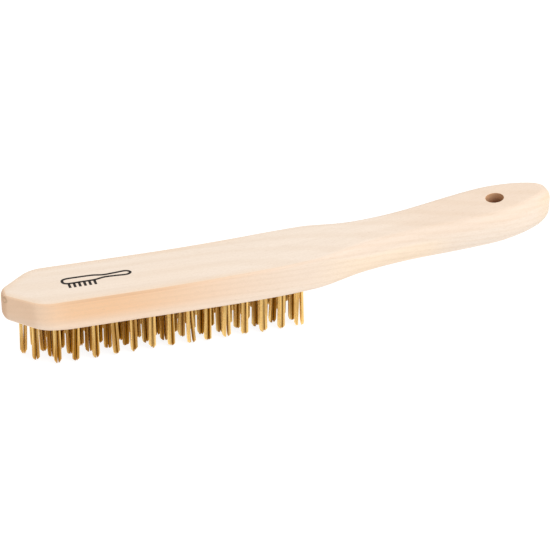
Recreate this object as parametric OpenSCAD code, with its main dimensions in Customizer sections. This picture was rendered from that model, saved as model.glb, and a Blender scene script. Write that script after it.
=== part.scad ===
// Hand wire brush: one curved wooden block with a head and a handle, and brass
// wire tufts that are folded over flat anchors and driven into drilled holes.
// Units are millimetres. +X runs from the nose to the handle end and +Z is up.
// The origin is on the plane of the wire tips, under the middle of the block.
// A station is a distance from the nose, measured along X.

/* [Block] */

// Overall length of the wooden block
block_length = 291; // [288:1:310]

// Width of the head
head_width = 37.6; // [35:0.1:44]

// Thickness of the head behind the nose
head_thickness = 16.2; // [14:0.1:22]

// Edge radius along the head
head_edge_radius = 1.7; // [0.6:0.1:3]

/* [Nose] */

// Width of the blunt front end before its corners are rounded
nose_end_width = 6.6; // [6:0.1:12]

// Angle between the nose flanks and the length of the block
nose_angle = 41.5; // [37:0.1:46]

// Plan radius of the two front corners
nose_corner_radius = 6.5; // [3:0.5:6.5]

// Plan radius where the nose flanks meet the long sides
shoulder_radius = 16.5; // [6:0.5:20]

// How far the underside is sanded up at the very front
nose_lift = 2.4; // [0:0.1:3]

// Length over which the underside is sanded up
nose_lift_length = 30; // [12:1:34]

/* [Handle] */

// Width of the handle at its waist
waist_width = 28.4; // [22:0.1:32]

// Width of the handle at the grip
grip_width = 36.2; // [28:0.1:38]

// Edge radius along the handle
handle_edge_radius = 7.8; // [3:0.1:8]

// Angle at which the rounded edges of the handle meet its flat faces
handle_crease = 16; // [0:1:30]

// Climb of the handle's top face per millimetre of length
top_slope = 0.1226; // [0.05:0.0002:0.13]

// Climb of the handle's underside per millimetre of length
underside_slope = 0.1014; // [0.05:0.0002:0.13]

// Diameter of the hanging hole
hang_hole_diameter = 9.5; // [6:0.1:12]

// Station of the hanging hole
hang_hole_station = 260.6; // [250:0.1:268]

/* [Tufts] */

// Free length of the wire below the head
wire_length = 22.4; // [15:0.1:35]

// Distance between tufts along a row
tuft_pitch = 9.7; // [9:0.05:9.9]

// Distance between neighbouring rows
row_spacing = 6; // [5.5:0.1:6.5]

// Station of the first tuft in the two outer rows
first_tuft_station = 24.7; // [24:0.1:26]

// Tuft diameter where it leaves the wood
tuft_root_diameter = 4; // [3:0.1:4.1]

// Tuft diameter near the tips
tuft_tip_diameter = 4.3; // [3:0.1:4.8]

// Diameter of the drilled tuft holes
tuft_hole_diameter = 4.2; // [4.2:0.1:4.4]

// Depth of the drilled tuft holes, without the drill point
tuft_hole_depth = 8.4; // [6:0.1:9]

/* [Anchors] */

// Thickness of the flat anchor
anchor_thickness = 0.4; // [0.2:0.05:0.6]

// Length of the anchor, which bites into the wood on both sides of its hole
anchor_length = 5.6; // [4.8:0.1:6]

// Height of the anchor
anchor_height = 2.4; // [1.5:0.1:3]

/* [Hidden] */
RANKS = 14;
function two_digits(number) = str(number < 10 ? "0" : "", number);
function rank_name(kind, rank) = str(kind, "_rank_", two_digits(rank));

WOOD = [0.94, 0.86, 0.76];
BRASS = [0.78, 0.62, 0.34];
STEEL = [0.66, 0.66, 0.64];
ROUND = 48;
OVERSHOOT = 1;

head_half = head_width / 2;
waist_half = waist_width / 2;
grip_half = grip_width / 2;

// Plan outline of the nose: a flat front, a rounded corner, a straight flank
// and a rounded shoulder that runs into the long side.
corner_run = nose_corner_radius * tan((90 - nose_angle) / 2);
corner_centre = nose_end_width / 2 - corner_run;
corner_stop = corner_run * cos(nose_angle);
flank_station = (head_half - nose_end_width / 2) / tan(nose_angle);
shoulder_run = shoulder_radius * tan(nose_angle / 2);
shoulder_start = flank_station - shoulder_run * cos(nose_angle);
shoulder_stop = flank_station + shoulder_run;

// Plan outline of the handle: head to waist, waist to grip, then a round end.
neck_start = 136;
neck_stop = 220;
grip_start = 192;
grip_stop = 256;
end_power = 1.7;
end_reach = block_length + 0.2 - grip_stop;

// Side view: the faces run level under the head and climb along the handle.
// The top starts to climb earlier, so the block thickens towards the handle.
top_bend = [68, 235];
underside_bend = [106, 197];

// Section: small edge radii along the head and large ones along the handle.
edge_blend = [158, 188];
front_edge_radius = 2.9;
nose_lift_power = 0.9;
back_edge_radius = 6.4;

CORNER_STEPS = 6;
FRONT_STEPS = 5;
BACK_STEPS = 12;
NECK_STEPS = 18;
GRIP_STEPS = 12;

function quarter(radius, reach) =
  sqrt(max(radius * radius - (radius - reach) * (radius - reach), 0));
function ease(from, to, x) =
  let (t = min(max((x - from) / (to - from), 0), 1)) t * t * (3 - 2 * t);
function climb(bend, slope, x) =
  let (span = bend[1] - bend[0], run = min(max(x - bend[0], 0), span))
  slope * (run * run / (2 * span) + max(x - bend[1], 0));

function nose_half(x) =
  x < corner_stop ? corner_centre + quarter(nose_corner_radius, x)
  : x < shoulder_start ? nose_end_width / 2 + x * tan(nose_angle)
  : x < shoulder_stop
    ? head_half - shoulder_radius + quarter(shoulder_radius, x - shoulder_stop + shoulder_radius)
  : head_half;
function handle_half(x) =
  head_half
  + (waist_half - head_half) * ease(neck_start, neck_stop, x)
  + (grip_half - waist_half) * ease(grip_start, grip_stop, x);
function end_factor(x) =
  let (t = max(x - grip_stop, 0) / end_reach) sqrt(1 - pow(t, end_power));
function block_half(x) =
  x < shoulder_stop ? nose_half(x) : handle_half(x) * end_factor(x);

function top_height(x) = wire_length + head_thickness + climb(top_bend, top_slope, x);
function underside_height(x) =
  wire_length + climb(underside_bend, underside_slope, x)
  + nose_lift * pow(max(1 - x / nose_lift_length, 0), nose_lift_power);
function middle_height(x) = (top_height(x) + underside_height(x)) / 2;
function end_loss(radius, reach) =
  reach < radius ? radius - quarter(radius, reach) : 0;
function block_half_thickness(x) =
  (top_height(x) - underside_height(x)) / 2
  - end_loss(front_edge_radius, x)
  - end_loss(back_edge_radius, block_length - x);
function edge_radius(x) =
  let (wanted = head_edge_radius
      + (handle_edge_radius - head_edge_radius) * ease(edge_blend[0], edge_blend[1], x))
  min(wanted, 0.9 * block_half_thickness(x), 0.9 * block_half(x));
function crease(x) = handle_crease * ease(edge_blend[0], edge_blend[1], x);

// One section of the block as a rounded rectangle, anticlockwise seen from +X.
// Its arcs run level with the sides and meet the flat faces at the crease angle.
function section(x) =
  let (
    radius = edge_radius(x),
    sweep = 90 - crease(x),
    flat_y = block_half(x) - radius,
    flat_z = block_half_thickness(x) - radius * sin(sweep)
  )
  [
    for (corner = [0:3])
      for (step = [0:CORNER_STEPS])
        let (
          start = corner % 2 == 0 ? 90 * corner : 90 * (corner + 1) - sweep,
          turn = start + sweep * step / CORNER_STEPS,
          side_y = corner == 0 || corner == 3 ? 1 : -1,
          side_z = corner < 2 ? 1 : -1
        )
        [
          x - block_length / 2,
          side_y * flat_y + radius * cos(turn),
          middle_height(x) + side_z * flat_z + radius * sin(turn)
        ]
  ];

function evenly(from, to, steps) = [for (i = [1:steps]) from + (to - from) * i / steps];
stations = concat(
  [for (i = [0:FRONT_STEPS]) corner_stop * (1 - cos(90 * i / FRONT_STEPS))],
  [front_edge_radius],
  evenly(front_edge_radius, shoulder_start, 2),
  evenly(shoulder_start, shoulder_stop, 4),
  evenly(shoulder_stop, top_bend[0], 2),
  evenly(top_bend[0], underside_bend[0], 4),
  evenly(underside_bend[0], grip_start, NECK_STEPS),
  evenly(grip_start, grip_stop, GRIP_STEPS),
  [for (i = [1:BACK_STEPS]) block_length - (block_length - grip_stop) * (1 - sin(90 * i / BACK_STEPS))]
);

// Where the tufts stand, as [station, offset from the middle line]. Each row
// is shifted along the head, so that the tufts don't follow in one track.
row_shifts = [0, -0.24, -0.55, 0.25, 0];
nose_places = [[10.1, 0], [14.8, -row_spacing], [15.8, row_spacing]];
function rank_places(rank) = [
  for (row = [0:len(row_shifts) - 1])
    [
      first_tuft_station + (rank - 1 + row_shifts[row]) * tuft_pitch,
      (row - (len(row_shifts) - 1) / 2) * row_spacing
    ]
];
all_places = concat(nose_places, [for (rank = [1:RANKS]) each rank_places(rank)]);

// Heights inside a tuft hole.
hole_top = wire_length + tuft_hole_depth;
drill_point = tuft_hole_diameter / 2 * tan(31);
fold_thickness = 1;
anchor_top = hole_top - fold_thickness;
press_gap = 0.03;
leg_gap = anchor_thickness + 0.1;
tip_chamfer = 0.6;
fold_chamfer = 0.9;

module at_places(places) {
  for (place = places)
    translate([place[0] - block_length / 2, place[1], 0]) children();
}

module block_body() {
  ring = 4 * (CORNER_STEPS + 1);
  last = len(stations) - 1;
  points = [for (x = stations) each section(x)];
  sides = [
    for (i = [0:last - 1])
      for (j = [0:ring - 1])
        let (
          a = i * ring + j,
          b = i * ring + (j + 1) % ring,
          c = b + ring,
          d = a + ring
        )
        each [[a, c, b], [a, d, c]]
  ];
  front = [for (j = [0:ring - 1]) j];
  back = [for (j = [0:ring - 1]) (last + 1) * ring - 1 - j];
  polyhedron(points = points, faces = concat(sides, [front, back]), convexity = 6);
}

module hang_hole() {
  mouth_low = underside_height(hang_hole_station);
  mouth_high = top_height(hang_hole_station);
  translate([hang_hole_station - block_length / 2, 0, mouth_low - OVERSHOOT])
    cylinder(h = mouth_high - mouth_low + 2 * OVERSHOOT, d = hang_hole_diameter, $fn = ROUND);
}

module tuft_hole() {
  translate([0, 0, wire_length - OVERSHOOT])
    cylinder(h = tuft_hole_depth + OVERSHOOT, d = tuft_hole_diameter, $fn = ROUND);
  translate([0, 0, hole_top])
    cylinder(h = drill_point, d1 = tuft_hole_diameter, d2 = 0, $fn = ROUND);
}

module anchor_box(gap) {
  translate([-anchor_thickness / 2 - gap, -anchor_length / 2 - gap, anchor_top - anchor_height - gap])
    cube([anchor_thickness, anchor_length, anchor_height] + 2 * gap * [1, 1, 1]);
}

module wooden_block() {
  color(WOOD)
    difference() {
      block_body();
      hang_hole();
      at_places(all_places) {
        tuft_hole();
        anchor_box(press_gap);
      }
    }
}

// A bundle of wires bent double: one crown in the hole and two legs below it.
module tuft() {
  tip = tuft_tip_diameter / 2;
  root = tuft_root_diameter / 2;
  difference() {
    rotate_extrude($fn = ROUND)
      polygon([
        [0, 0],
        [tip - tip_chamfer, 0],
        [tip, tip_chamfer],
        [root, wire_length],
        [root, hole_top - fold_chamfer / 2],
        [root - fold_chamfer, hole_top],
        [0, hole_top]
      ]);
    translate([-leg_gap / 2, -tip - OVERSHOOT, -OVERSHOOT])
      cube([leg_gap, 2 * (tip + OVERSHOOT), anchor_top + OVERSHOOT]);
  }
}

module tufts(places) {
  color(BRASS) at_places(places) tuft();
}

module anchors(places) {
  color(STEEL) at_places(places) anchor_box(0);
}

wooden_block();
tufts(nose_places);  // tufts_nose
anchors(nose_places);  // anchors_nose
for (rank = [1:RANKS]) {
  tufts(rank_places(rank));
  anchors(rank_places(rank));
}
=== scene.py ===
"""Looks of a hand wire brush: a pale hardwood block and tufts of brass-coloured wire.

Lengths in this file are millimetres until a mesh is made, because the part's source is in
millimetres too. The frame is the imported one: +X runs from the nose to the handle end, +Z is up,
and the wire tips stand on the plane Z = 0. A station is a distance from the nose along X.
"""

import math
import random

import bpy
import numpy as np
from mathutils import Matrix, Vector


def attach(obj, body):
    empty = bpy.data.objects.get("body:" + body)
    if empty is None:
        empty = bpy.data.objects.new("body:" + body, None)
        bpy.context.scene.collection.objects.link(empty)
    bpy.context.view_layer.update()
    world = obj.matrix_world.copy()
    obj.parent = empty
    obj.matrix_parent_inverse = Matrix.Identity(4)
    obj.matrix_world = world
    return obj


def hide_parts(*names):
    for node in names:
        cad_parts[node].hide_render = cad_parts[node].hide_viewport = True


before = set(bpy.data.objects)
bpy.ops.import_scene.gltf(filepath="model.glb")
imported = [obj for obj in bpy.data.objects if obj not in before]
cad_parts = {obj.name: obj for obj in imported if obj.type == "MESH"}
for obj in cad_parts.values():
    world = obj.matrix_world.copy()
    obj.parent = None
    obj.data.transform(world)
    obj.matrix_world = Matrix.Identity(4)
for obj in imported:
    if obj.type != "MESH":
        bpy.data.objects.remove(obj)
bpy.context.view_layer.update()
MM = 0.001
SEED = 7

# ---------------------------------------------------------------- camera
CAMERA_AZIMUTH = -16.7715
CAMERA_ELEVATION = 31.0547
CAMERA_ROLL = 0.324
CAMERA_DISTANCE = 1075
CAMERA_AIM = Vector((-4.227, -1.202, 25.406))
CAMERA_LENS = 137.16
CAMERA_CLIP = (0.05, 50)
SENSOR = 36.0
IMAGE_SIDE = 550
LENS_SHIFT = 0.5 / IMAGE_SIDE


def make_camera():
    azimuth, elevation = math.radians(CAMERA_AZIMUTH), math.radians(CAMERA_ELEVATION)
    roll = math.radians(CAMERA_ROLL)
    back = Vector(
        (
            math.sin(azimuth) * math.cos(elevation),
            -math.cos(azimuth) * math.cos(elevation),
            math.sin(elevation),
        )
    )
    level = Vector((math.cos(azimuth), math.sin(azimuth), 0))
    right = level * math.cos(roll) + back.cross(level) * math.sin(roll)
    up = back.cross(right)
    data = bpy.data.cameras.new("camera")
    data.sensor_width = SENSOR
    data.lens = CAMERA_LENS
    data.shift_x = -LENS_SHIFT
    data.shift_y = LENS_SHIFT
    data.clip_start, data.clip_end = CAMERA_CLIP
    camera = bpy.data.objects.new("camera", data)
    place = (CAMERA_AIM + back * CAMERA_DISTANCE) * MM
    turn = Matrix((right, up, back)).transposed().to_4x4()
    camera.matrix_world = Matrix.Translation(place) @ turn
    bpy.context.scene.collection.objects.link(camera)
    bpy.context.scene.camera = camera


make_camera()

# ---------------------------------------------------------------- block shape
BLOCK_LENGTH = 291
HEAD_HALF, WAIST_HALF, GRIP_HALF = 18.8, 14.2, 18.1
HEAD_THICKNESS = 16.2
HEAD_EDGE, HANDLE_EDGE = 1.7, 7.8
EDGE_SHARE = 0.9
HANDLE_CREASE = math.radians(16)
NOSE_END_HALF = 3.3
NOSE_ANGLE = math.radians(41.5)
NOSE_CORNER = 6.5
SHOULDER_RADIUS = 16.5
NOSE_LIFT, NOSE_LIFT_LENGTH, NOSE_LIFT_POWER = 2.4, 30, 0.9
TOP_SLOPE, UNDERSIDE_SLOPE = 0.1226, 0.1014
NECK = (136, 220)
GRIP = (192, 256)
END_POWER, END_OVERRUN = 1.7, 0.2
END_REACH = BLOCK_LENGTH + END_OVERRUN - GRIP[1]
TOP_BEND = (68, 235)
UNDERSIDE_BEND = (106, 197)
EDGE_BLEND = (158, 188)
FRONT_ROUND, BACK_ROUND = 2.9, 6.4
HANG_STATION, HANG_RADIUS, HANG_LIP = 260.6, 4.75, 0.25

WIRE_LENGTH = 22.4
TUFT_PITCH, ROW_SPACING, FIRST_STATION = 9.7, 6, 24.7
TUFT_HOLE_RADIUS, TUFT_HOLE_DEPTH, TUFT_HOLE_LIP = 2.1, 8.4, 0.5
HOLE_TOP = WIRE_LENGTH + TUFT_HOLE_DEPTH
DRILL_TIP_RADIUS, DRILL_TIP_ANGLE = 0.1, math.radians(31)
DRILL_POINT = TUFT_HOLE_RADIUS * math.tan(DRILL_TIP_ANGLE)
ANCHOR_HEADROOM = 1
ANCHOR_TOP = HOLE_TOP - ANCHOR_HEADROOM
ROW_SHIFTS = (0, -0.24, -0.55, 0.25, 0)
NOSE_PLACES = ((10.1, 0), (14.8, -ROW_SPACING), (15.8, ROW_SPACING))
RANKS = 14

CORNER_RUN = NOSE_CORNER * math.tan((math.pi / 2 - NOSE_ANGLE) / 2)
CORNER_CENTRE = NOSE_END_HALF - CORNER_RUN
CORNER_STOP = CORNER_RUN * math.cos(NOSE_ANGLE)
FLANK_STATION = (HEAD_HALF - NOSE_END_HALF) / math.tan(NOSE_ANGLE)
SHOULDER_RUN = SHOULDER_RADIUS * math.tan(NOSE_ANGLE / 2)
SHOULDER_START = FLANK_STATION - SHOULDER_RUN * math.cos(NOSE_ANGLE)
SHOULDER_STOP = FLANK_STATION + SHOULDER_RUN


def quarter(radius, reach):
    return math.sqrt(max(radius**2 - (radius - reach) ** 2, 0))


def ease(span, x):
    t = min(max((x - span[0]) / (span[1] - span[0]), 0), 1)
    return t * t * (3 - 2 * t)


def climb(bend, slope, x):
    span = bend[1] - bend[0]
    run = min(max(x - bend[0], 0), span)
    return slope * (run * run / (2 * span) + max(x - bend[1], 0))


def half_width(x):
    if x < CORNER_STOP:
        return CORNER_CENTRE + quarter(NOSE_CORNER, x)
    if x < SHOULDER_START:
        return NOSE_END_HALF + x * math.tan(NOSE_ANGLE)
    if x < SHOULDER_STOP:
        reach = x - SHOULDER_STOP + SHOULDER_RADIUS
        return HEAD_HALF - SHOULDER_RADIUS + quarter(SHOULDER_RADIUS, reach)
    along = HEAD_HALF + (WAIST_HALF - HEAD_HALF) * ease(NECK, x)
    along += (GRIP_HALF - WAIST_HALF) * ease(GRIP, x)
    past = min(max(x - GRIP[1], 0) / END_REACH, 1)
    return along * math.sqrt(1 - past**END_POWER)


def top_height(x):
    return WIRE_LENGTH + HEAD_THICKNESS + climb(TOP_BEND, TOP_SLOPE, x)


def underside_height(x):
    lift = NOSE_LIFT * max(1 - x / NOSE_LIFT_LENGTH, 0) ** NOSE_LIFT_POWER
    return WIRE_LENGTH + climb(UNDERSIDE_BEND, UNDERSIDE_SLOPE, x) + lift


def end_loss(radius, reach):
    return radius - quarter(radius, reach) if reach < radius else 0


def half_thickness(x):
    full = (top_height(x) - underside_height(x)) / 2
    return full - end_loss(FRONT_ROUND, x) - end_loss(BACK_ROUND, BLOCK_LENGTH - x)


def edge_radius(x):
    wanted = HEAD_EDGE + (HANDLE_EDGE - HEAD_EDGE) * ease(EDGE_BLEND, x)
    return min(wanted, EDGE_SHARE * half_thickness(x), EDGE_SHARE * half_width(x))


CORNER_STEPS = 9
TOP_STEPS, SIDE_STEPS = 22, 10
FRONT_STEPS, BACK_STEPS, STATION_STEP = 10, 40, 1.0


def section(x):
    """One rounded rectangle across the block, anticlockwise seen from +X."""
    radius = edge_radius(x)
    sweep = math.pi / 2 - HANDLE_CREASE * ease(EDGE_BLEND, x)
    flat_y = half_width(x) - radius
    flat_z = half_thickness(x) - radius * math.sin(sweep)
    middle = (top_height(x) + underside_height(x)) / 2
    arcs = []
    for corner, (side_y, side_z) in enumerate(((1, 1), (-1, 1), (-1, -1), (1, -1))):
        start = math.pi / 2 * corner
        if corner % 2:
            start = math.pi / 2 * (corner + 1) - sweep
        arc = []
        for step in range(CORNER_STEPS + 1):
            turn = start + sweep * step / CORNER_STEPS
            y = side_y * flat_y + radius * math.cos(turn)
            z = middle + side_z * flat_z + radius * math.sin(turn)
            arc.append((y, z))
        arcs.append(arc)
    points = []
    for corner, arc in enumerate(arcs):
        points += arc
        (start_y, start_z), (end_y, end_z) = arc[-1], arcs[(corner + 1) % 4][0]
        steps = TOP_STEPS if corner % 2 == 0 else SIDE_STEPS
        for step in range(1, steps):
            t = step / steps
            points.append((start_y + (end_y - start_y) * t, start_z + (end_z - start_z) * t))
    return [(x - BLOCK_LENGTH / 2, y, z) for y, z in points]


def block_stations():
    """Where the sections stand: close together at the two rounded ends, 1 mm apart between."""
    straight = GRIP[1] - CORNER_STOP
    reach = BLOCK_LENGTH - GRIP[1]
    count = round(straight / STATION_STEP)
    stations = []
    for i in range(FRONT_STEPS + 1):
        turn = math.pi / 2 * i / FRONT_STEPS
        stations.append(CORNER_STOP * (1 - math.cos(turn)))
    for i in range(1, count + 1):
        stations.append(CORNER_STOP + straight * i / count)
    for i in range(1, BACK_STEPS + 1):
        turn = math.pi / 2 * i / BACK_STEPS
        stations.append(BLOCK_LENGTH - reach * (1 - math.sin(turn)))
    return stations


def new_object(name, points, faces, smooth=True):
    """A mesh object in the row frame, from millimetres."""
    mesh = bpy.data.meshes.new(name)
    mesh.from_pydata([tuple(c * MM for c in p) for p in points], [], faces)
    mesh.update()
    if smooth:
        mesh.shade_smooth()
    made = bpy.data.objects.new(name, mesh)
    bpy.context.scene.collection.objects.link(made)
    return made


def loft(rings):
    """Faces of a closed tube through rings of the same length, with a face on each end."""
    count, last = len(rings[0]), len(rings) - 1
    points = [p for ring in rings for p in ring]
    faces = []
    for i in range(last):
        for j in range(count):
            a, b = i * count + j, i * count + (j + 1) % count
            faces.append((a, b, b + count, a + count))
    faces.append(tuple(reversed(range(count))))
    faces.append(tuple(range(last * count, (last + 1) * count)))
    return points, faces


BORE_STEPS = 48
BLOCK_SHARP = math.radians(32)
# The rounded lip of a drilled hole, as (how much wider, how much deeper) for a lip of 1 mm.
LIP = ((0.45, -0.6), (0.38, 0.0), (0.16, 0.14), (0.04, 0.38), (0.0, 0.7))


def bore_rings(station, offset, radius, surface, inward, lip):
    """The mouth of a drilled hole: rings that follow the surface and close in to the radius."""
    rings = []
    for widen, depth in LIP:
        ring = []
        for i in range(BORE_STEPS):
            turn = 2 * math.pi * i / BORE_STEPS
            reach = radius + widen * lip
            x, y = reach * math.cos(turn), offset + reach * math.sin(turn)
            height = surface(station + x) + inward * depth * lip
            ring.append((station + x - BLOCK_LENGTH / 2, y, height))
        rings.append(ring)
    return rings


def straight_ring(station, offset, radius, height):
    """A level ring round a drilled hole's axis."""
    ring = []
    for i in range(BORE_STEPS):
        turn = 2 * math.pi * i / BORE_STEPS
        x = station - BLOCK_LENGTH / 2 + radius * math.cos(turn)
        ring.append((x, offset + radius * math.sin(turn), height))
    return ring


def rank_places(rank):
    return [
        (FIRST_STATION + (rank - 1 + shift) * TUFT_PITCH, (row - 2) * ROW_SPACING)
        for row, shift in enumerate(ROW_SHIFTS)
    ]


PLACES = {"nose": list(NOSE_PLACES)}
for rank in range(1, RANKS + 1):
    PLACES[f"rank_{rank:02d}"] = rank_places(rank)


def make_cutter():
    """All the drilled holes of the block as one mesh."""
    points, faces = [], []

    def add(rings):
        tube_points, tube_faces = loft(rings)
        start = len(points)
        points.extend(tube_points)
        faces.extend(tuple(start + i for i in face) for face in tube_faces)

    low = bore_rings(HANG_STATION, 0, HANG_RADIUS, underside_height, 1, HANG_LIP)
    high = bore_rings(HANG_STATION, 0, HANG_RADIUS, top_height, -1, HANG_LIP)
    add(low + high[::-1])
    for place in (p for places in PLACES.values() for p in places):
        mouth = bore_rings(*place, TUFT_HOLE_RADIUS, underside_height, 1, TUFT_HOLE_LIP)
        top = straight_ring(*place, TUFT_HOLE_RADIUS, HOLE_TOP)
        point = straight_ring(*place, DRILL_TIP_RADIUS, HOLE_TOP + DRILL_POINT)
        add(mouth + [top, point])
    return new_object("cutter", points, faces, smooth=False)


def make_block():
    points, faces = loft([section(x) for x in block_stations()])
    block = new_object("block", points, faces)
    cutter = make_cutter()
    cut = block.modifiers.new("holes", "BOOLEAN")
    cut.object = cutter
    cut.operation = "DIFFERENCE"
    cut.solver = "EXACT"
    depsgraph = bpy.context.evaluated_depsgraph_get()
    mesh = bpy.data.meshes.new_from_object(block.evaluated_get(depsgraph), depsgraph=depsgraph)
    block.modifiers.clear()
    block.data = mesh
    bpy.data.objects.remove(cutter)
    mesh.shade_smooth()
    mesh.set_sharp_from_angle(angle=BLOCK_SHARP)
    return block


# ---------------------------------------------------------------- wires
WIRE_RADIUS, WIRE_SIDES = 0.2, 6
WIRE_SHARP = math.radians(65)
WIRE_GAP, WIRE_JITTER = 0.425, 0.04
BUNDLE_ROOT, SLIT_ROOT = 1.82, 0.36
# The wires of a leg gather into strands. The tone of a strand is drawn between the dark and the
# bright value given for its distance from the slit; the darker range near the slit is painted
# shade, for the shadow inside the tuft.
STRAND_DEPTHS = (0.7, 1.4)
STRAND_SIDES = (-1.15, 0, 1.15)
STRAND_TONES = {0.7: (0.05, 0.75), 1.4: (0.4, 1.0)}
STRAND_JITTER = (0.1, 0.15)
STRAND_PULL = 0.12
STRAND_SHARE = 0.75
# How the tips spread, lean and stand off the floor.
TIP_GROWTH, TIP_JITTER = 1.05, 0.04
TIP_ROUNDING, TIP_ROUND_POWER = (0.8, 2.3), 2.5
TIP_UNEVEN, STRAND_UNEVEN = 0.12, 0.34
LEAN_SPREAD = (0.28, 0.25)
SPLAY_SPREAD, SPLAY_LIMIT = 0.14, 0.24
BOW, BEND_POWER = 0.08, 1.25
# How much darker the wires beside a slit and in the inner rows are painted, as painted shade
# where the tuft and the rows in front shade them, and how much the tufts brighten from the nose
# to the last rank, as painted light from the handle end.
SLIT_SHADE, INNER_SHADE = 0.3, 0.24
LENGTH_SHADE, LENGTH_MIDDLE = 0.3, 0.45
HEAD_LENGTH, INNER_MARGIN = 155, 5
LEG_STEPS, FOLD_STEPS = 7, 5
FOLD_START = ANCHOR_TOP - 0.5
FOLD_LOW, FOLD_HIGH = 0.15, 0.75


# The few tufts that stand out: how far their legs spread at the tips beyond the usual, as
# (left, right), how wide the slit is where they leave the wood, and how much darker they are
# painted (below nought, brighter); on the last rank that is a painted highlight.
ODD_TUFTS = {
    ("nose", 0): ((-0.25, -0.25), 0.65, -0.4),
    ("rank_08", 0): ((0.55, 0.35), SLIT_ROOT, 0),
    ("rank_10", 0): ((0.25, 0.25), SLIT_ROOT, 0),
    ("rank_14", 0): ((0.45, 0.6), 0.62, -0.3),
}
USUAL_TUFT = ((0, 0), SLIT_ROOT, 0)


def leg_spots(slit, rng):
    """Where the wires of one leg pass, as (distance from the slit plane, offset along it)."""
    spots = []
    row_step = WIRE_GAP * math.sqrt(3) / 2
    for row in range(int((BUNDLE_ROOT - slit) / row_step) + 1):
        depth = slit + row * row_step
        reach = math.sqrt(max(BUNDLE_ROOT**2 - depth**2, 0))
        count = int(2 * reach / WIRE_GAP) + 1
        for i in range(count):
            side = (i - (count - 1) / 2) * WIRE_GAP
            off_depth = rng.uniform(-WIRE_JITTER, WIRE_JITTER)
            off_side = rng.uniform(-WIRE_JITTER, WIRE_JITTER)
            spots.append((depth + off_depth, side + off_side))
    return spots


class Leg:
    """One leg of a tuft: its wires gather into a few strands, with a rounded end in all."""

    def __init__(self, rng, sign, lean, rounding, spread):
        self.rng, self.sign, self.lean, self.rounding = rng, sign, lean, rounding
        splay = rng.gauss(0.0, SPLAY_SPREAD)
        self.splay = min(max(splay, -SPLAY_LIMIT), SPLAY_LIMIT) + spread
        self.short = abs(rng.gauss(0, STRAND_UNEVEN))
        off_depth, off_side = STRAND_JITTER
        self.strands = []
        for depth in STRAND_DEPTHS:
            for side in STRAND_SIDES:
                middle_depth = depth + rng.uniform(-off_depth, off_depth)
                middle_side = side + rng.uniform(-off_side, off_side)
                dark, bright = STRAND_TONES[depth]
                tone = dark + (bright - dark) * rng.random()
                short = abs(rng.gauss(0, STRAND_UNEVEN))
                self.strands.append((middle_depth, middle_side, short, tone))

    def line(self, depth, side):
        """(points from the tip up to the fold, tone) of the wire at this spot."""
        rng, sign = self.rng, self.sign
        strand = min(self.strands, key=lambda s: math.hypot(s[0] - depth, s[1] - side))
        near_depth, near_side, near_short, near_tone = strand
        tip_depth = depth + (near_depth - depth) * STRAND_PULL + self.splay
        tip_side = side + (near_side - side) * STRAND_PULL
        tip_x = sign * tip_depth * TIP_GROWTH + self.lean[0] + rng.gauss(0, TIP_JITTER)
        tip_y = tip_side * TIP_GROWTH + self.lean[1] + rng.gauss(0, TIP_JITTER)
        off_axis = math.hypot(depth, side) / BUNDLE_ROOT
        rounded = self.rounding * off_axis**TIP_ROUND_POWER
        tip_z = self.short + near_short + rounded + abs(rng.gauss(0, TIP_UNEVEN))
        bow = rng.gauss(0, BOW)
        points = []
        for step in range(LEG_STEPS):
            t = 1 - step / (LEG_STEPS - 1)
            x = sign * depth + (tip_x - sign * depth) * t**BEND_POWER + bow * t * (1 - t)
            y = side + (tip_y - side) * t**BEND_POWER
            points.append((x, y, WIRE_LENGTH + (tip_z - WIRE_LENGTH) * t))
        points.append((sign * depth, side, FOLD_START))
        # Painted shade on the wires beside the slit.
        inner = SLIT_SHADE if depth < SLIT_ROOT + WIRE_GAP / 2 else 0
        tone = STRAND_SHARE * near_tone + (1 - STRAND_SHARE) * rng.random()
        return points, tone - inner


def tuft_paths(place, kind, rng):
    """The centre lines of one tuft's wires, each bent double over the anchor, and their tones."""
    spread, slit, darker = kind
    lean = tuple(rng.gauss(0, spread_by) for spread_by in LEAN_SPREAD)
    rounding = rng.uniform(*TIP_ROUNDING)
    legs = [Leg(rng, sign, lean, rounding, extra) for sign, extra in zip((-1, 1), spread)]
    paths, tones = [], []
    for depth, side in leg_spots(slit, rng):
        left, left_tone = legs[0].line(depth, side)
        right, right_tone = legs[1].line(depth, side)
        share = (depth - SLIT_ROOT) / (BUNDLE_ROOT - SLIT_ROOT)
        crown = ANCHOR_TOP - FOLD_START + FOLD_LOW + share * (FOLD_HIGH - FOLD_LOW)
        fold = []
        for step in range(1, FOLD_STEPS):
            turn = math.pi * step / FOLD_STEPS
            fold.append((-depth * math.cos(turn), side, FOLD_START + crown * math.sin(turn)))
        path = left + fold + right[::-1]
        paths.append([(place[0] - BLOCK_LENGTH / 2 + x, place[1] + y, z) for x, y, z in path])
        half = len(left) + len(fold) // 2
        behind_nose = place[0] > FIRST_STATION - INNER_MARGIN
        # Painted shade on the inner rows, which the front rows and the head keep in shadow.
        inside = abs(place[1]) < 2 * ROW_SPACING and behind_nose
        shade = (INNER_SHADE if inside else 0) + darker
        # Painted light: the tufts brighten towards the handle end, where the light comes from.
        shade -= LENGTH_SHADE * (place[0] / HEAD_LENGTH - LENGTH_MIDDLE)
        pair = [max(tone - shade, 0) for tone in (left_tone, right_tone)]
        tones.append([pair[0]] * half + [pair[1]] * (len(path) - half))
    return paths, tones


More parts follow.
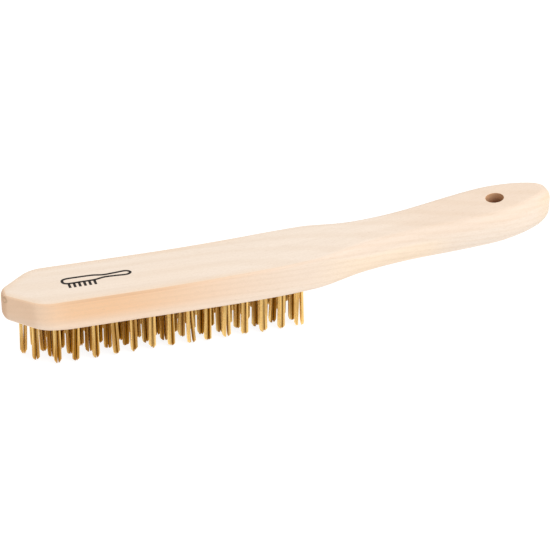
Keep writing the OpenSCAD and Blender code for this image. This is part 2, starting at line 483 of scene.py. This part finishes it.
def make_wires(suffix, places):
    """Every wire of these tufts as a round strand with cut ends, in one mesh."""
    rng = random.Random(f"{SEED} {suffix}")
    paths, tones = [], []
    for index, place in enumerate(places):
        kind = ODD_TUFTS.get((suffix, index), USUAL_TUFT)
        more_paths, more_tones = tuft_paths(place, kind, rng)
        paths += more_paths
        tones += more_tones
    line = np.array(paths)
    count, steps = line.shape[:2]
    along = np.gradient(line, axis=1)
    along /= np.linalg.norm(along, axis=2, keepdims=True)
    across = np.array([0.0, 1.0, 0.0])
    out = np.cross(along, across)
    out /= np.linalg.norm(out, axis=2, keepdims=True)
    turn = 2 * np.pi * np.arange(WIRE_SIDES) / WIRE_SIDES
    turn = turn[None, None, :, None]
    ring = np.cos(turn) * across + np.sin(turn) * out[:, :, None, :]
    points = (line[:, :, None, :] + WIRE_RADIUS * ring).reshape(-1, 3)
    per_wire = steps * WIRE_SIDES
    faces = []
    for wire in range(count):
        base = wire * per_wire
        for step in range(steps - 1):
            for side in range(WIRE_SIDES):
                a = base + step * WIRE_SIDES + side
                b = base + step * WIRE_SIDES + (side + 1) % WIRE_SIDES
                faces.append((a, b, b + WIRE_SIDES, a + WIRE_SIDES))
        faces.append(tuple(reversed(range(base, base + WIRE_SIDES))))
        faces.append(tuple(range(base + per_wire - WIRE_SIDES, base + per_wire)))
    wires = new_object("wires_" + suffix, points.tolist(), faces)
    tone = wires.data.attributes.new("tone", "FLOAT", "POINT")
    spread_tones = np.repeat(np.array(tones, np.float32).ravel(), WIRE_SIDES)
    tone.data.foreach_set("value", spread_tones)
    wires.data.set_sharp_from_angle(angle=WIRE_SHARP)
    return wires


# ---------------------------------------------------------------- ink mark
MARK_CENTRE = (-97, -0.4)
MARK_RAISE, MARK_SINK = 0.02, 0.05
BODY_LINE, BRISTLE_LINE = 1.45, 1.35
BRISTLES, FIRST_BRISTLE, BRISTLE_PITCH = 6, -14.6, 2.6
KNOT_STEPS = 10


def ink_stroke(outline, width, closed):
    """A flat line of ink along points in the plane, as a thin closed plate."""
    line = np.array(outline, float)
    if closed:
        ahead, behind = np.roll(line, -1, axis=0), np.roll(line, 1, axis=0)
    else:
        ahead = np.vstack([line[1:], line[-1:]])
        behind = np.vstack([line[:1], line[:-1]])
    along = ahead - behind
    along /= np.linalg.norm(along, axis=1, keepdims=True)
    side = np.stack([-along[:, 1], along[:, 0]], axis=1) * width / 2
    left, right = line + side, line - side
    rings = []
    for a, b in zip(left, right):
        ring = []
        for spot, lift in ((a, -MARK_SINK), (a, MARK_RAISE), (b, MARK_RAISE), (b, -MARK_SINK)):
            x, y = spot[0] + MARK_CENTRE[0], spot[1] + MARK_CENTRE[1]
            ring.append((x, y, top_height(x + BLOCK_LENGTH / 2) + lift))
        rings.append(ring)
    points, faces = loft(rings)
    if closed:
        faces = faces[:-2]
        side_count = len(rings[0])
        last = (len(rings) - 1) * side_count
        for j in range(side_count):
            k = (j + 1) % side_count
            faces.append((last + j, last + k, k, j))
    return points, faces


def rounded_outline(knots):
    """A closed smooth line through knots, by Catmull-Rom."""
    out = []
    count = len(knots)
    for i in range(count):
        p0, p1, p2, p3 = (np.array(knots[(i + k - 1) % count], float) for k in range(4))
        linear = p2 - p0
        square = 2 * p0 - 5 * p1 + 4 * p2 - p3
        cube = 3 * p1 - p0 - 3 * p2 + p3
        for step in range(KNOT_STEPS):
            t = step / KNOT_STEPS
            out.append(0.5 * (2 * p1 + linear * t + square * t * t + cube * t**3))
    return out


def make_mark():
    """A plain pictogram of a brush, printed in black on the head."""
    head_back = [(-17.4, 1.9), (-15.6, 4.0), (-8, 4.2), (-1.5, 4.0)]
    handle_back = [(4, 3.0), (10, 3.4), (15.4, 3.7), (17.4, 1.9)]
    handle_front = [(15.4, 0.2), (10, 0.5), (4, 0.7)]
    head_front = [(-1.5, -0.5), (-8, -0.6), (-15.6, -0.5)]
    body = head_back + handle_back + handle_front + head_front
    strokes = [(rounded_outline(body), BODY_LINE, True)]
    for i in range(BRISTLES):
        x = FIRST_BRISTLE + BRISTLE_PITCH * i
        strokes.append(([(x, -0.9), (x, -2.8), (x + 0.05, -5.0)], BRISTLE_LINE, False))
    points, faces = [], []
    for outline, width, closed in strokes:
        more_points, more_faces = ink_stroke(outline, width, closed)
        start = len(points)
        points += more_points
        faces += [tuple(start + i for i in face) for face in more_faces]
    return new_object("ink_mark", points, faces, smooth=False)


# ---------------------------------------------------------------- materials
class Nodes:
    """Short names for building one material's node tree. Colours are linear red, green, blue."""

    def __init__(self, name):
        self.material = bpy.data.materials.new(name)
        self.material.use_nodes = True
        self.tree = self.material.node_tree
        self.shader = self.tree.nodes["Principled BSDF"]

    def add(self, kind, inputs=None, **settings):
        made = self.tree.nodes.new(kind)
        for key, value in settings.items():
            setattr(made, key, value)
        for key, value in (inputs or {}).items():
            self.put(made.inputs[key], value)
        return made

    def put(self, socket, value):
        """Link another node's output to this socket, or set a plain value on it."""
        if isinstance(value, bpy.types.NodeSocket):
            self.tree.links.new(value, socket)
        elif socket.type == "RGBA":
            socket.default_value = (*value, 1)
        else:
            socket.default_value = value

    def look(self, inputs):
        """Fill the shader's own sockets and hand the material over."""
        for key, value in inputs.items():
            self.put(self.shader.inputs[key], value)
        return self.material

    def place(self):
        return self.add("ShaderNodeTexCoord").outputs["Object"]

    def split(self, vector):
        return self.add("ShaderNodeSeparateXYZ", {0: vector}).outputs

    def math(self, operation, a, b=0.0):
        return self.add("ShaderNodeMath", {0: a, 1: b}, operation=operation).outputs[0]

    def plus(self, a, b):
        return self.math("ADD", a, b)

    def minus(self, a, b):
        return self.math("SUBTRACT", a, b)

    def times(self, *factors):
        product = factors[0]
        for factor in factors[1:]:
            product = self.math("MULTIPLY", product, factor)
        return product

    def distance(self, a, b):
        """How far a point at (a, b) is from (0, 0)."""
        squares = self.plus(self.math("POWER", a, 2.0), self.math("POWER", b, 2.0))
        return self.math("SQRT", squares)

    def span(self, value, low, high, to_low=0.0, to_high=1.0):
        """value from low..high to to_low..to_high, smoothly."""
        ends = {"From Min": low, "From Max": high, "To Min": to_low, "To Max": to_high}
        made = self.add(
            "ShaderNodeMapRange", {"Value": value, **ends}, interpolation_type="SMOOTHSTEP"
        )
        return made.outputs["Result"]

    def noise(self, vector, scale, detail, roughness=0.5):
        """Noise with this many waves a metre along each axis."""
        scaled = self.add("ShaderNodeVectorMath", {0: vector, 1: scale}, operation="MULTIPLY")
        made = self.add(
            "ShaderNodeTexNoise",
            {"Vector": scaled.outputs[0], "Scale": 1.0, "Detail": detail, "Roughness": roughness},
        )
        return made.outputs["Fac"]

    def mix(self, factor, a, b):
        made = self.add("ShaderNodeMix", {0: factor, 6: a, 7: b}, data_type="RGBA")
        return made.outputs[2]

    def mix_value(self, factor, a, b):
        made = self.add("ShaderNodeMix", {0: factor, 2: a, 3: b}, data_type="FLOAT")
        return made.outputs[0]

    def tint(self, colour, mask, strength, towards):
        """colour, moved towards another one where the mask says so."""
        return self.mix(self.times(mask, strength), colour, towards)

    def bump(self, height, strength, distance):
        made = self.add(
            "ShaderNodeBump", {"Height": height, "Strength": strength, "Distance": distance}
        )
        return made.outputs["Normal"]


PITH_Y, PITH_Z, PITH_TILT = 0.031, 0.062, 0.02
RING_PITCH, RING_WANDER = 0.0032, 0.006
KNOT_Y, KNOT_Z, KNOT_RADIUS = -0.0036, 0.0362, 0.0013
WALL_FADE = (0.25, 0.02)

PALE_WOOD = ((0.815, 0.685, 0.568), (0.905, 0.785, 0.672))
WARM_WOOD = ((0.81, 0.475, 0.255), (0.88, 0.575, 0.350))
RIM_SHADE_WOOD = (0.62, 0.375, 0.215)
TOP_EDGE_WOOD = (0.83, 0.60, 0.40)
GRIP_WOOD = (0.80, 0.62, 0.48)
NECK_HIGHLIGHT_WOOD = (0.99, 0.79, 0.56)
TAIL_SHADE_WOOD = (0.87, 0.66, 0.42)
FRONT_GRAIN_AND_SHADE_WOOD = (0.62, 0.37, 0.215)
RING_WOOD = (0.62, 0.42, 0.25)
FLECK_WOOD = (0.50, 0.32, 0.18)
SPECKLE_WOOD = (0.62, 0.48, 0.36)
CLOUD_WOOD = (0.88, 0.68, 0.50)
FIBRE_WOOD = (0.64, 0.46, 0.30)
KNOT_WOOD = (0.45, 0.29, 0.17)
HOLE_WALL_AND_SHADE_WOOD = ((0.84, 0.50, 0.27), (0.20, 0.058, 0.010))


def growth_rings(n, place, x, y, z):
    """Growth rings round a pith that runs below the block, almost along it."""
    wander = n.noise(place, (6, 40, 40), 3.0)
    radius = n.distance(n.plus(y, PITH_Y), n.plus(z, PITH_Z))
    radius = n.plus(radius, n.times(x, PITH_TILT))
    radius = n.plus(radius, n.times(wander, RING_WANDER))
    wave = n.math("SINE", n.times(radius, 2 * math.pi / RING_PITCH))
    return n.span(wave, -0.2, 1.0)


def wood_ground(n, station, z, facing_z, streak):
    """Pale top, warm sides: partly the wood's own colours, partly painted shade."""
    # The sides of the head are painted warmer and darker than the top, as painted shade, most
    # so just under the top edge and a little behind the nose. Lower down and towards the handle
    # the warmth fades, as painted light from the floor and from the handle end. Along the handle
    # only what turns under is painted warm, again as shade.
    handle = n.span(station, 125, 175)
    head_side = n.span(facing_z, 0.999, 0.94)
    handle_side = n.span(facing_z, 0.30, -0.35)
    side = n.mix_value(handle, head_side, handle_side)
    fade = n.minus(n.span(station, 45, 150, 1.0, 0.2), n.span(station, 35, 10, 0.0, 0.4))
    fade = n.times(fade, n.span(station, 205, 245, 1.0, 0.0))
    lower = n.span(z, 0.031, 0.024, 1.0, 0.42)
    pale = n.mix(streak, *PALE_WOOD)
    warm = n.mix(streak, *WARM_WOOD)
    return n.mix(n.times(side, fade, lower), pale, warm)


def wood_edges(n, colour, station, y, facing_z):
    """Painted shade on the head's edges, and warmer over the last few millimetres of its top."""
    # Painted shade: the rounding under the top edge is darkened where it turns to the light.
    rim = n.times(n.span(facing_z, 0.995, 0.9), n.span(facing_z, 0.1, 0.5))
    rim_fade = n.times(n.span(station, 60, 110, 1.0, 0.3), n.span(station, 15, 40, 0.4, 1.0))
    colour = n.tint(colour, n.times(rim_fade, rim), 0.6, RIM_SHADE_WOOD)
    off_middle = n.times(n.math("ABSOLUTE", y), 1 / MM)
    to_side = n.minus(HEAD_HALF, off_middle)
    flank = n.plus(n.times(station, math.tan(NOSE_ANGLE)), NOSE_END_HALF)
    to_flank = n.times(n.minus(flank, off_middle), math.cos(NOSE_ANGLE))
    inward = n.math("MINIMUM", to_side, to_flank)
    # Warmer within a few millimetres of the top's edges, on the head only.
    top_edge = n.times(n.span(inward, 6.0, 1.0), n.span(facing_z, 0.8, 0.97))
    return n.tint(colour, n.times(top_edge, n.span(station, 150, 110)), 0.38, TOP_EDGE_WOOD)


def wood_ends(n, colour, station, facing_x, facing_z):
    """Grip top, painted neck highlight, painted shade on the round end and the front end grain."""
    grip_top = n.times(n.span(station, 180, 230), n.span(facing_z, 0.85, 0.98))
    colour = n.tint(colour, grip_top, 0.55, GRIP_WOOD)
    # Painted highlight: the flank of the neck is painted paler where it turns to the light.
    neck = n.times(n.span(station, 150, 185), n.span(station, 235, 215))
    neck = n.times(neck, n.span(facing_z, 0.4, 0.0))
    colour = n.tint(colour, neck, 0.45, NECK_HIGHLIGHT_WOOD)
    # Painted shade: the sides of the round end are painted warmer and darker.
    tail_shade = n.times(n.span(station, 276, 288), n.span(facing_z, 0.85, 0.5))
    colour = n.tint(colour, tail_shade, 0.4, TAIL_SHADE_WOOD)
    # The front end is darker, partly for its end grain, partly as painted shade away from the
    # light.
    return n.tint(colour, n.span(facing_x, -0.45, -0.95), 0.9, FRONT_GRAIN_AND_SHADE_WOOD)


def front_knot(n, colour, station, y, z):
    """A small knot shows on the front end."""
    knot = n.distance(n.minus(y, KNOT_Y), n.minus(z, KNOT_Z))
    ring = n.span(n.math("ABSOLUTE", n.minus(knot, KNOT_RADIUS)), 0.0007, 0.0001)
    return n.tint(colour, n.times(ring, n.span(station, 5, 3)), 0.6, KNOT_WOOD)


def hole_wall(n, colour, x, y, z):
    """The hanging hole's wall is browner; painted shade darkens it deep down and to the right."""
    hang_x = n.minus(x, (HANG_STATION - BLOCK_LENGTH / 2) * MM)
    reach = n.distance(hang_x, y)
    wall = n.span(reach, *((HANG_RADIUS + fade) * MM for fade in WALL_FADE))
    # Painted shade in the hole, deepest low down and on the right, away from the light.
    deep = n.span(z, 0.0520, 0.0455, 0.0, 0.7)
    deep = n.plus(deep, n.span(hang_x, -0.0035, 0.0035, 0.0, 0.45))
    return n.tint(colour, wall, 0.92, n.mix(deep, *HOLE_WALL_AND_SHADE_WOOD))


def wood_material():
    n = Nodes("wood")
    place = n.place()
    x, y, z = n.split(place)
    normal = n.add("ShaderNodeNewGeometry").outputs["Normal"]
    facing_x, _, facing_z = n.split(normal)
    station = n.plus(n.times(x, 1 / MM), BLOCK_LENGTH / 2)
    rings = growth_rings(n, place, x, y, z)
    fibre = n.noise(place, (22, 1500, 1500), 3.0, 0.6)
    streak = n.noise(place, (5, 190, 190), 3.0, 0.55)
    cloud = n.noise(place, (14, 38, 38), 3.0)
    fleck = n.span(n.noise(place, (320, 1500, 1500), 1.0), 0.60, 0.74)
    speckle = n.noise(place, (900, 1500, 1500), 2.0, 0.6)
    colour = wood_ground(n, station, z, facing_z, streak)
    colour = wood_edges(n, colour, station, y, facing_z)
    colour = wood_ends(n, colour, station, facing_x, facing_z)
    colour = n.tint(colour, rings, 0.10, RING_WOOD)
    colour = n.tint(colour, fleck, 0.13, FLECK_WOOD)
    colour = n.mix(n.span(speckle, 0.35, 0.65, 0.0, 0.13), colour, SPECKLE_WOOD)
    colour = n.mix(n.span(cloud, 0.35, 0.75, 0.0, 0.15), colour, CLOUD_WOOD)
    colour = n.mix(n.span(fibre, 0.3, 0.8, 0.0, 0.10), colour, FIBRE_WOOD)
    colour = front_knot(n, colour, station, y, z)
    colour = hole_wall(n, colour, x, y, z)
    height = n.plus(n.times(fibre, 0.7), n.times(rings, 0.3))
    return n.look(
        {
            "Base Color": colour,
            "Roughness": n.span(streak, 0.2, 0.8, 0.50, 0.62),
            "Normal": n.bump(height, 0.25, 0.0002),
            "Specular IOR Level": 0.35,
        }
    )


DARK_BRASS, BRIGHT_BRASS = (0.33, 0.13, 0.006), (1.0, 0.72, 0.29)
DULL_BRASS = (0.42, 0.19, 0.02)
ORANGE_BRASS = (0.56, 0.25, 0.02)
CUT_BRASS = (0.70, 0.55, 0.36)
BRASS_SHEEN = (0.92, 0.66, 0.34)


def brass_material():
    n = Nodes("brass_wire")
    place = n.place()
    x, _, z = n.split(place)
    tone = n.add("ShaderNodeAttribute", attribute_name="tone").outputs["Fac"]
    patch = n.noise(place, (260, 260, 60), 3.0)
    drawn = n.noise(place, (6000, 6000, 250), 2.0)
    # The tone holds painted shade and painted light besides each wire's own random tone.
    colour = n.mix(n.span(tone, 0.0, 0.75), DARK_BRASS, BRIGHT_BRASS)
    colour = n.mix(n.span(patch, 0.45, 0.7, 0.0, 0.3), colour, DULL_BRASS)
    # Towards the nose the lower half of the wires is a deeper orange.
    nose_orange = n.times(n.span(x, -0.07, -0.13), n.span(z, 0.016, 0.006))
    colour = n.tint(colour, nose_orange, 0.5, ORANGE_BRASS)
    colour = n.tint(colour, n.span(z, 0.0016, 0.0002), 0.35, CUT_BRASS)
    return n.look(
        {
            "Base Color": colour,
            "Metallic": 1.0,
            "Specular Tint": BRASS_SHEEN,
            "Roughness": n.span(patch, 0.2, 0.8, 0.2, 0.34),
            "Normal": n.bump(drawn, 0.15, 0.00003),
        }
    )


def steel_material():
    n = Nodes("anchor_steel")
    place = n.place()
    brushed = n.noise(place, (4000, 300, 4000), 3.0)
    cloud = n.noise(place, (500, 500, 500), 2.0)
    colour = n.mix(brushed, (0.42, 0.42, 0.41), (0.62, 0.61, 0.59))
    colour = n.mix(n.span(cloud, 0.5, 0.8, 0.0, 0.4), colour, (0.36, 0.31, 0.26))
    return n.look(
        {
            "Base Color": colour,
            "Metallic": 1.0,
            "Roughness": n.span(brushed, 0.2, 0.8, 0.3, 0.5),
            "Normal": n.bump(brushed, 0.2, 0.00003),
        }
    )


def ink_material():
    n = Nodes("black_ink")
    thin = n.noise(n.place(), (900, 2600, 2600), 3.0, 0.65)
    return n.look(
        {
            "Base Color": n.mix(n.span(thin, 0.5, 0.8), (0.018, 0.015, 0.014), (0.16, 0.12, 0.10)),
            "Roughness": n.span(thin, 0.3, 0.8, 0.45, 0.7),
            "Normal": n.bump(thin, 0.3, 0.00003),
            "Specular IOR Level": 0.12,
        }
    )


def dress(piece, material):
    piece.data.materials.clear()
    piece.data.materials.append(material)


# ---------------------------------------------------------------- pieces
block = make_block()
dress(block, wood_material())
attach(block, "root")
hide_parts("wooden_block")

brass = brass_material()
for suffix, places in PLACES.items():
    wires = make_wires(suffix, places)
    dress(wires, brass)
    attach(wires, "root")
    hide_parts("tufts_" + suffix)

mark = make_mark()
dress(mark, ink_material())
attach(mark, "root")

steel = steel_material()
for suffix in PLACES:
    dress(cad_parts["anchors_" + suffix], steel)

# ---------------------------------------------------------------- studio
FLOOR_HALF, FLOOR_DROP = 6000.0, 0.05
FLOOR_GREY, FLOOR_GLOW = (0.25, 0.25, 0.25), 0.88
WHITE = (1, 1, 1)
SKY_STRENGTH = 0.68
KEY_PLACE, KEY_AIM = Vector((0.5, -0.6, 1.4)), Vector((0, 0, 0.03))
KEY_SIZE, KEY_WATTS = 0.9, 14.5


def make_floor():
    ends = (-FLOOR_HALF, FLOOR_HALF)
    corners = [(x, y, -FLOOR_DROP) for y in ends for x in ends]
    floor = new_object("floor", corners, [(0, 1, 3, 2)], smooth=False)
    n = Nodes("white_floor")
    look = n.look(
        {
            "Base Color": FLOOR_GREY,
            "Roughness": 0.9,
            "Specular IOR Level": 0.0,
            "Emission Color": WHITE,
            "Emission Strength": FLOOR_GLOW,
        }
    )
    dress(floor, look)


def make_key_light():
    data = bpy.data.lights.new("key", "AREA")
    data.shape = "SQUARE"
    data.size = KEY_SIZE
    data.energy = KEY_WATTS
    light = bpy.data.objects.new("key", data)
    light.location = KEY_PLACE
    light.rotation_mode = "QUATERNION"
    light.rotation_quaternion = (KEY_AIM - KEY_PLACE).to_track_quat("-Z", "Y")
    bpy.context.scene.collection.objects.link(light)


def make_world():
    world = bpy.data.worlds.new("studio")
    world.use_nodes = True
    background = world.node_tree.nodes["Background"]
    background.inputs["Color"].default_value = (*WHITE, 1)
    background.inputs["Strength"].default_value = SKY_STRENGTH
    bpy.context.scene.world = world


make_floor()
make_world()
make_key_light()
bpy.context.scene.view_settings.view_transform = "Standard"
